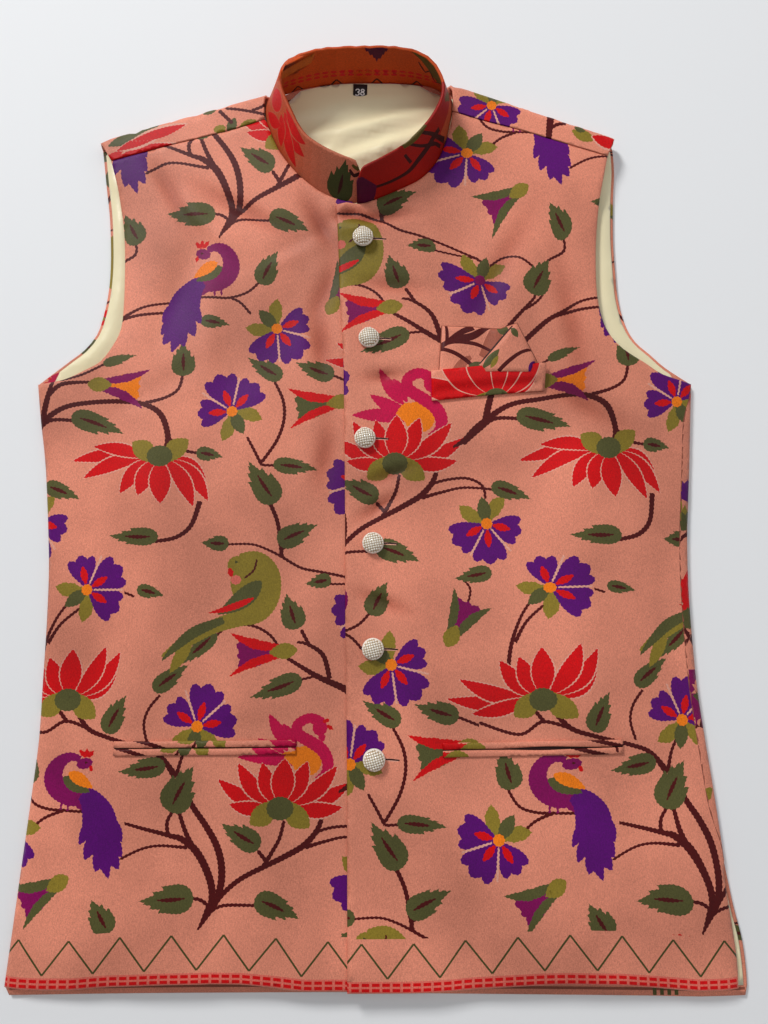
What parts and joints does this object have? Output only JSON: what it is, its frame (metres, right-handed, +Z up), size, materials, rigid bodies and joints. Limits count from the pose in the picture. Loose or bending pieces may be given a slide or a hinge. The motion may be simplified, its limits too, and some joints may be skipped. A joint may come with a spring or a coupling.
{
  "type": "sleeveless stand-collar jacket laid flat",
  "caption": "Sleeveless jacket with a stand collar and woven pattern, buttoned and lying on its back, with jetted pockets and a chest welt holding a folded square.",
  "frame": {"origin": "middle of the bounding box at its underside, where the back of the jacket lies on the surface", "axes": "+Y from hem to collar, +X to the wearer's left, which is to the right of someone looking at the front, +Z up from the back through the fronts"},
  "size_m": [0.5166, 0.6982, 0.039],
  "materials": {
    "brocade": "salmon woven brocade with a soft satin sheen and a woven pattern of birds, branches, leaves and flowers",
    "lining_satin": "cream satin lining, smooth and softly glossy",
    "collar_brocade": "the same brocade, cut from its dark red and rust border",
    "button_ivory": "ivory domed button with a fine brown lattice",
    "tab_weave": "black woven size tab, matte"
  },
  "bodies": {
    "root": {"back": "brocade", "back_lining": "lining_satin", "front_right": "brocade", "front_left": "brocade", "collar": "collar_brocade", "button_1": "button_ivory", "button_2": "button_ivory", "button_3": "button_ivory", "button_4": "button_ivory", "button_5": "button_ivory", "button_6": "button_ivory", "jet_right_upper": "brocade", "jet_right_lower": "brocade", "jet_left_upper": "brocade", "jet_left_lower": "brocade", "chest_welt": "brocade", "pocket_square": "brocade", "size_tab": "tab_weave"}
  },
  "joints": []
}
